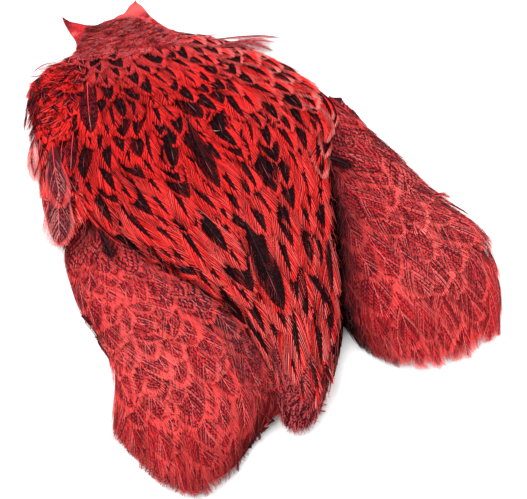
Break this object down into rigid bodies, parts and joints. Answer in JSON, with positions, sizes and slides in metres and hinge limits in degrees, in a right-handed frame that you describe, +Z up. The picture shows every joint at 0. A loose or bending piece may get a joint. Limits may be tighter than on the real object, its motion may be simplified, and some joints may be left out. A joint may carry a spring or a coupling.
{
  "type": "dyed hen cape",
  "caption": "Dried neck skin of a hen with its feathers on, dyed red, lying flat: laced feathers down the middle, pencilled ones at the sides.",
  "frame": {"origin": "on the surface the cape lies on, under the middle of its outline", "axes": "+Y towards the head end, +X to the cape's right as the feathers are looked down on, +Z up"},
  "size_m": [0.1471, 0.2122, 0.0225],
  "materials": {
    "dried_skin": "dried bird skin, dyed red, matt, pitted where the quills grow",
    "laced_feather": "dyed feather, bright red edge round a near-black middle, satin",
    "pencilled_feather": "dyed feather, red with fine dark wavy pencilling and a soft lighter edge, satin"
  },
  "bodies": {
    "root": {"skin": "dried_skin", "neck_feathers": "pencilled_feather", "centre_feathers": "laced_feather", "left_shoulder_feathers": "pencilled_feather", "left_side_feathers": "pencilled_feather", "right_side_feathers": "pencilled_feather"}
  },
  "joints": []
}
